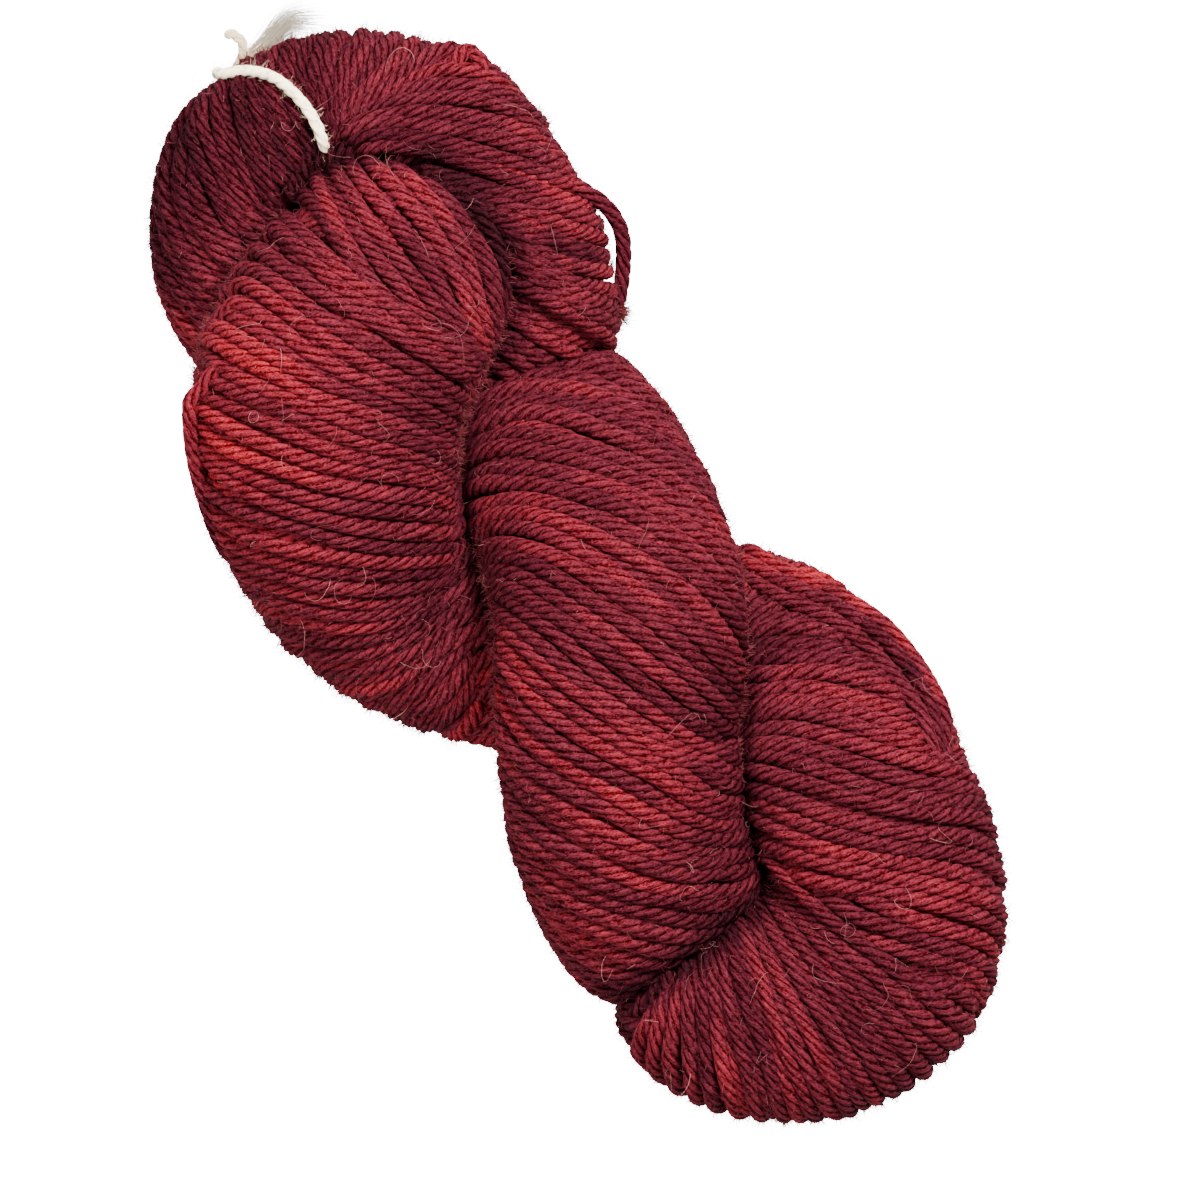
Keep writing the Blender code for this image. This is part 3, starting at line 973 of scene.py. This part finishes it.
# As for the dyed wool: painted shade in the grooves, and a painted sheen highlight on the proud
# fibres.
undyed_wool = wool(
    "undyed_wool", CREAM_STOPS, (0.80, 0.76, 0.68), (1.0, 1.0, 1.0),
    plies=TIE_PLIES, contrast=0.5, sheen=0.5,
)


def course_along(table, radius, step, aside, taper=END_TAPER, pale=0.78):
    """A course along one of the solids' routes, with its rings' first facet turned towards aside,
    this pale if it is cream; where pale is low, that is painted shade."""
    rows = smooth_rows(table, 0.3) - HANK_MIDDLE
    length = run_along(rows)
    stops = np.linspace(0.0, length[-1], int(length[-1] / step))
    return {
        "points": read_at(stops, length, rows),
        "out": np.tile(np.array(aside, dtype=float), (len(stops), 1)),
        "length": stops,
        "radius": np.full(len(stops), radius),
        "taper": taper,
        "pale": pale,
    }


def cream_shade(course):
    return course["pale"] + wander(course["length"], period=9.0, reach=0.06)


tie_course = course_along(TIE_LOOP, TIE_RADIUS, 0.7, (0.25, 1.0, 0.0), taper=1.0)
# The two ends are made much less pale, as painted shade: they lie back in shadow.
short_course = course_along(SHORT_END, TIE_RADIUS * 0.9, 0.6, (0.0, 0.3, 1.0), 0.5, 0.05)
long_course = course_along(LONG_END[:4], TIE_RADIUS, 0.6, (0.0, 0.2, 1.0), 0.6, 0.30)
tie_courses = [tie_course, short_course, long_course]
tie = yarn_tube("tie_yarn", tie_courses, cream_shade, TIE_PLIES, TIE_PLY_TURN)
hand_over(tie, undyed_wool, "tie")

# The picture shows the tie close to white, so that it has a light of its own
tie_lit = bpy.data.collections.new("tie_lit")
tie_lit.objects.link(tie)
tie_light = soft_light("tie_light", right=0.15, up=0.35, height=1.0, size=0.6, power=85.0)
tie_light.data.color = (1.0, 0.89, 0.70)
tie_light.light_linking.receiver_collection = tie_lit


# ---- The dyed skein --------------------------------------------------------
# The skein's dyed wool shows as strands: one mesh for each lobe of the hank and for each fan, and
# below them a core, painted dark as shade, that stands for the yarn packed inside.
MIDDLE_SHADE = 0.49
CREASE_REACH = 4.2
CREASE_SHADE = 0.36
STRAND_PUSH, STRAND_PUSH_REACH = 1.6, 2.4
TIE_PUSH, TIE_PUSH_REACH = 1.0, 2.8
# Each row is a patch of the uneven dye and of painted shade and light: its middle right and down
# in the picture and its reach, in pixels, and how much brighter the strands are there. Some are
# the dye's own patches; some are painted shade in the creases and in the gaps between strands;
# some brighten lower edges, as painted light.
DYE_AND_SHADE_PATCHES = numbers("""
    290,330,80,0.22  350,490,60,0.14  230,450,80,0.26  190,400,50,0.1  280,560,60,0.1
    375,220,50,0.16  375,680,50,0.1  170,200,70,-0.18  235,140,80,-0.28  315,165,40,-0.18
    300,60,60,-0.08  185,270,30,-0.12  310,265,40,-0.1  490,240,60,-0.12  560,200,30,0.14
    520,140,90,0.06  440,420,40,-0.14  330,150,25,-0.2  440,600,45,-0.18  505,690,50,0.14
    560,655,50,-0.08  620,590,60,0.06  620,810,70,0.14  570,920,50,0.12  735,720,45,-0.16
    770,630,50,-0.14  730,830,45,-0.14  800,870,40,0.12  700,920,50,-0.16  620,1000,40,0.1
    800,1000,80,-0.04  860,985,35,-0.12  870,640,60,-0.1  760,1090,60,0.14  500,730,60,0.12
    990,980,50,0.12  280,50,50,0.08  180,150,24,-0.14  764,560,26,0.34  806,578,24,0.36
    856,604,20,0.34  898,638,19,0.3  932,682,17,0.26  906,668,7,-0.15  552,250,14,-0.3
    580,260,12,-0.25  512,255,16,-0.3  540,290,14,-0.22  440,168,16,-0.25
""", 4)


def dye_and_crease_shade(course):
    """The shade along a course: its strand's own dye, the patches' dye and painted light and
    shade, and painted shade, darker where the bundles press on each other, as little light gets
    there."""
    points = course["points"]
    along = course["length"]
    shade = np.full(len(points), MIDDLE_SHADE + random.uniform(-0.04, 0.04))
    shade += wander(along, period=26.0, reach=0.14) + wander(along, period=7.0, reach=0.06)
    if "bundle" in course:
        other = bundles["cap" if course["bundle"] == "collar" else "collar"]
        depth = other.depth_inside(points / (1.0, 1.0, FLATTENING))
        # Painted shade in the creases, where the other bundle presses close.
        shade -= CREASE_SHADE * np.clip(depth / CREASE_REACH + 1.0, 0.0, 1.0)
    # The patches add the dye's own unevenness, and painted shade and light.
    for right, down, reach, amount in DYE_AND_SHADE_PATCHES:
        x, y = on_table(right, down)
        away = np.hypot(points[:, 0] - x, points[:, 1] - y) / (reach * PIXEL / MM)
        shade += amount * np.exp(-away**2)
    return shade


def gap_to(points, others):
    """How far each point is from the nearest of the others."""
    return np.min(np.linalg.norm(points[:, None, :] - others[None, :, :], axis=-1), axis=1)


def make_room(courses):
    """Push the courses down where fanned strands lie over them."""
    laid = np.concatenate([course["points"] for fan in fans.values() for course in fan])
    for course in courses:
        points = course["points"]
        near_enough = np.ptp(points, axis=0) / 2 + 6.0
        near = laid[np.all(np.abs(laid - points.mean(axis=0)) < near_enough, axis=1)]
        if not len(near):
            continue
        push = STRAND_PUSH * np.exp(-(gap_to(points, near) / STRAND_PUSH_REACH) ** 2)
        push = np.convolve(np.pad(push, 3, mode="edge"), np.ones(7) / 7.0, mode="valid")
        course["points"] = points - push[:, None] * course["out"]


def make_room_for_tie(courses):
    """Push the courses down where the tie lies over them."""
    for course in courses:
        points = course["points"]
        gap = gap_to(points, tie_course["points"][::2])
        push = TIE_PUSH * np.exp(-(gap / TIE_PUSH_REACH) ** 2)
        course["points"] = points - push[:, None] * course["out"]


layers = {name: strand_courses(name, False) for name in bundles}
layers["lower"] = strand_courses("collar", True) + strand_courses("cap", True)
for layer in layers.values():
    make_room(layer)
layers.update(fans)
for layer in layers.values():
    make_room_for_tie(layer)
layers["single"] = (
    fans["left_edge_strand"] + fans["right_edge_strand"] + fans["upper_edge_loop"]
)

# Each row is a mesh: its name, its layer, and the stretch of its bundle
BUNDLE_END = 999.0
SKEIN_PARTS = [
    ("collar_strands", "collar", 0.0, 128.0),
    ("middle_lobe_strands", "collar", 128.0, BUNDLE_END),
    ("first_lobe_strands", "cap", 0.0, 100.0),
    ("back_strands", "cap", 100.0, 205.0),
    ("fold_strands", "cap", 205.0, BUNDLE_END),
    ("lower_strands", "lower"),
    ("collar_fan_strands", "collar_fan"),
    ("collar_arc_strands", "collar_arc_fan"),
    ("collar_side_strands", "collar_side_fan"),
    ("first_lobe_fan_strands", "lobe_fan"),
    ("first_lobe_side_strands", "side_fan"),
    ("fold_fan_strands", "fold_fan"),
    ("last_lobe_edge_strands", "edge_fan"),
    ("single_strands", "single"),
]
for piece_name, layer_name, *stretch in SKEIN_PARTS:
    first_run, last_run = stretch or (0.0, BUNDLE_END)
    layer = layers[layer_name]
    chosen = [course for course in layer if first_run <= course["run"].mean() < last_run]
    facets = 2 if layer_name == "lower" else 3
    piece = yarn_tube(piece_name, chosen, dye_and_crease_shade, facets=facets)
    hand_over(piece, dyed_wool, "hank")

CORE_DEPTH = 3.8
CORE_SIDES = 28
CORE_STEP = 6
CORE_LOWEST = 1.5
# The core's near black is painted shade: the yarn packed inside lies in shadow.
CORE_SHADE_STOPS = [(0.3, (0.006, 0.0006, 0.002)), (0.7, (0.045, 0.003, 0.009))]
shaded_core_wool, core_shader, core_start = principled(
    "shaded_packed_wool", {"Roughness": 1.0, "Specular IOR Level": 0.0}
)
core_noise = core_start.node("ShaderNodeTexNoise", (), {"Scale": 900.0, "Detail": 2.0})
core_noise.ramp(CORE_SHADE_STOPS).feed(core_shader, "Base Color")
for bundle_name, bundle in bundles.items():
    angles = 2.0 * np.pi * np.arange(CORE_SIDES)[None, :, None] / CORE_SIDES
    normal = bundle.normal[::CORE_STEP, None, :]
    side = bundle.side[::CORE_STEP, None, :]
    reach = (bundle.radius[::CORE_STEP] - CORE_DEPTH)[:, None, None]
    rings = bundle.middle[::CORE_STEP, None, :] + reach * (
        np.cos(angles) * normal + np.sin(angles) * side
    )
    rings[:, :, 2] = np.maximum(rings[:, :, 2] * FLATTENING, CORE_LOWEST)
    core = ringed_mesh(bundle_name + "_core", rings, [len(rings) - 1], 0.4, [])
    hand_over(core, shaded_core_wool, "hank")


# ---- The loose strand ------------------------------------------------------
# One strand of the skein has sprung out of the upper lobe's edge in a low arc,
# and goes back under its neighbours, where its end is frayed.
LOOSE_STRAND = numbers("""
    -61,40.2,42.7  -56.8,42.6,39.9  -53.4,44,37.9  -49.4,44.3,36.1  -46,43.3,34.7
    -42.4,41.2,33.3  -39.2,38.8,31.9  -36.6,36.4,30.1  -34.6,34.6,28.1
""", 3)
loose_course = course_along(LOOSE_STRAND, 1.6, 0.8, (0.0, 0.0, 1.0))
loose = yarn_tube("loose_strand_yarn", [loose_course], dye_and_crease_shade)
hand_over(loose, dyed_wool, "loose_strand")


# ---- Fibres ----------------------------------------------------------------
# Fine hairs of the wool stand off every strand: short ones, thicker ones round
# the rim, and a few long and stray ones that curl over the surface. The tie's
# own are pale, with red ones caught in it, and its long end is a tuft of them.
FIBRE_SIDES = 3
FIBRE_TIP = 0.45


def fibre_mesh(name, lines, thickness, shades, material, stands_for=None):
    """Fine hairs along lines, an array of (hair, point, x y z). Thickness and
    shades are the least and the most."""
    count, points = lines.shape[:2]
    thickness = random.uniform(*thickness, count)
    shade = random.uniform(*shades, count)
    tangent = unit(np.gradient(lines, axis=1))
    aside = unit(np.cross(tangent, unit(random.normal(size=(count, 1, 3)))))
    across = np.cross(tangent, aside)
    around = 2.0 * np.pi * np.arange(FIBRE_SIDES)[None, None, :, None] / FIBRE_SIDES
    taper = np.linspace(1.0, FIBRE_TIP, points)[None, :, None, None]
    reach = thickness[:, None, None, None] * taper / 2.0
    rings = lines[:, :, None, :] + reach * (
        np.cos(around) * aside[:, :, None, :] + np.sin(around) * across[:, :, None, :]
    )
    rings = rings.reshape(count * points, FIBRE_SIDES, 3)
    rings[:, :, 2] = np.maximum(rings[:, :, 2], LOWEST_POINT)
    ends = np.arange(1, count + 1) * points - 1
    marks = [("shade", "FLOAT", np.repeat(shade, points * FIBRE_SIDES))]
    hairs = ringed_mesh(name, rings, ends, 0.5, marks)
    return hand_over(hairs, material, stands_for)


def curled_lines(roots, directions, lengths, curl, points):
    """Lines from the roots that set out one way and curl off another."""
    count = len(roots)
    step = (random.uniform(*lengths, count) / (points - 1))[:, None]
    heading = unit(directions)
    axis = unit(random.normal(size=(count, 3)))
    turn = (curl * random.uniform(0.2, 1.0, count) / (points - 1))[:, None]
    line = [roots]
    for _ in range(points - 1):
        line.append(line[-1] + step * heading)
        heading = unit(
            heading + turn * np.cross(axis, heading)
            + 0.12 * random.normal(size=(count, 3))
        )
    return np.stack(line, axis=1)


def grown(courses, count, round_by, rise, lean, scatter, lengths, curl, points,
          lowest=-0.3, steepest=1.0, arch=0.0):
    """Lines of hairs that grow from the courses' skins, where these face no
    further down than lowest and up than steepest. They set out by rise away
    from the skin, by lean along the strand and by scatter any way."""
    roots, out, radius = (
        np.concatenate([course[key] for course in courses]) for key in ("points", "out", "radius")
    )
    along = np.concatenate([unit(np.gradient(course["points"], axis=0)) for course in courses])
    chosen = np.flatnonzero((out[:, 2] > lowest) & (out[:, 2] <= steepest))
    chosen = random.choice(chosen, count)
    roots, out, radius, along = roots[chosen], out[chosen], radius[chosen], along[chosen]
    out = unit(out - np.sum(out * along, axis=1, keepdims=True) * along)
    angle = random.uniform(-round_by, round_by, count)[:, None]
    normal = np.cos(angle) * out + np.sin(angle) * np.cross(along, out)
    roots = roots + 0.85 * radius[:, None] * normal
    ways = rise * normal + random.uniform(-lean, lean, (count, 1)) * along
    if scatter:
        ways += scatter * random.normal(size=(count, 3))
    lines = curled_lines(roots, ways, lengths, curl, points)
    arc = np.sin(np.linspace(0.0, np.pi, points))
    return lines + arc[None, :, None] * arch * normal[:, None, :]


def hair_wool(name, stops):
    """A hair's own colour, by its shade."""
    material, shader, start = principled(name, {"Roughness": 0.6, "Specular IOR Level": 0.3})
    shade = start.node("ShaderNodeAttribute", {"attribute_name": "shade"}, (), 2)
    shade.ramp(stops).feed(shader, "Base Color")
    return material


red_hair = hair_wool("dyed_hair", [
    (0.0, (0.07, 0.004, 0.009)), (0.7, (0.30, 0.045, 0.055)), (1.0, (0.72, 0.30, 0.28)),
])
cream_hair = hair_wool("undyed_hair", [(0.0, (0.50, 0.41, 0.29)), (1.0, (0.92, 0.82, 0.67))])

top_courses = [course for name in (*bundles, *fans) for course in layers[name]]
short_lines = grown(
    top_courses, count=7500, round_by=1.3, rise=0.75, lean=1.0, scatter=0.45,
    lengths=(0.6, 2.2), curl=2.2, points=3,
)
fibre_mesh("short_hairs", short_lines, (0.05, 0.09), (0.1, 0.9), red_hair)
rim_lines = grown(
    top_courses, count=9000, round_by=0.9, rise=0.9, lean=0.7, scatter=0.4,
    lengths=(0.6, 1.9), curl=1.5, points=3, lowest=-0.15, steepest=0.25,
)
fibre_mesh("rim_hairs", rim_lines, (0.13, 0.21), (0.2, 0.7), red_hair)
long_lines = grown(
    top_courses, count=500, round_by=0.9, rise=0.35, lean=1.0, scatter=0.5,
    lengths=(2.0, 7.0), curl=6.5, points=12,
)
fibre_mesh("long_hairs", long_lines, (0.04, 0.075), (0.5, 1.0), red_hair)
stray_lines = grown(
    top_courses, count=70, round_by=0.6, rise=0.5, lean=1.0, scatter=0.0,
    lengths=(7.0, 14.0), curl=8.0, points=22, lowest=0.5, arch=1.2,
)
fibre_mesh("stray_hairs", stray_lines, (0.06, 0.10), (0.8, 1.0), red_hair)

# The loose strand's frayed end
FRAYED_HAIRS = 200
FRAYED_POINTS = 4
frayed_from = loose_course["points"][-FRAYED_POINTS:]
roots = frayed_from[random.integers(0, FRAYED_POINTS, FRAYED_HAIRS)]
roots = roots + 0.5 * random.normal(size=(FRAYED_HAIRS, 3))
ways = (0.5, 0.8, 0.2) + 0.4 * random.normal(size=(FRAYED_HAIRS, 3))
frayed_lines = curled_lines(roots, ways, lengths=(1.5, 3.6), curl=2.0, points=6)
fibre_mesh("frayed_hairs", frayed_lines, (0.15, 0.26), (0.2, 0.8), red_hair)

tie_lines = grown(
    tie_courses, count=420, round_by=3.1, rise=0.8, lean=1.0, scatter=0.4,
    lengths=(0.6, 2.2), curl=2.0, points=5,
)
caught_lines = grown(
    [tie_course], count=260, round_by=2.2, rise=0.3, lean=1.0, scatter=0.3,
    lengths=(1.5, 4.0), curl=7.0, points=10,
)
fibre_mesh("caught_hairs", caught_lines, (0.07, 0.11), (0.2, 0.7), red_hair)
tie_hairs = fibre_mesh(
    "tie_hairs", tie_lines, (0.03, 0.05), (0.3, 1.0), cream_hair, "tie"
)
tie_lit.objects.link(tie_hairs)

# The tuft's hairs leave the long end one by one, and spread past its tip
TUFT_HAIRS = 900
TUFT_POINTS = 7
TUFT_SPREAD = 1.1
TUFT_WANDER = 0.10
tuft_rows = smooth_rows(LONG_END, 0.5) - HANK_MIDDLE
tuft_run = run_along(tuft_rows)
starts = random.uniform(0.15, 0.55, TUFT_HAIRS)
stops = random.uniform(0.75, 1.12, TUFT_HAIRS)
parts = np.linspace(0.0, 1.0, TUFT_POINTS)
places = starts[:, None] + (stops - starts)[:, None] * parts[None, :]
tuft_lines = read_at(places * tuft_run[-1], tuft_run, tuft_rows)
tuft_end = unit(tuft_rows[-1] - tuft_rows[-4])
tuft_lines += np.maximum(places - 1.0, 0.0)[:, :, None] * tuft_run[-1] * tuft_end
spread = 0.5 + 1.5 * np.clip(places - 0.35, 0.0, 1.0) ** 1.2
aside = random.normal(size=(TUFT_HAIRS, 1, 3))
tuft_lines += TUFT_SPREAD * spread[:, :, None] * aside
steps = random.normal(size=(TUFT_HAIRS, TUFT_POINTS, 3))
tuft_lines += TUFT_WANDER * np.cumsum(steps, axis=1)
fibre_mesh(
    "tie_tuft", tuft_lines, (0.05, 0.09), (0.2, 1.0), cream_hair, "tie"
)
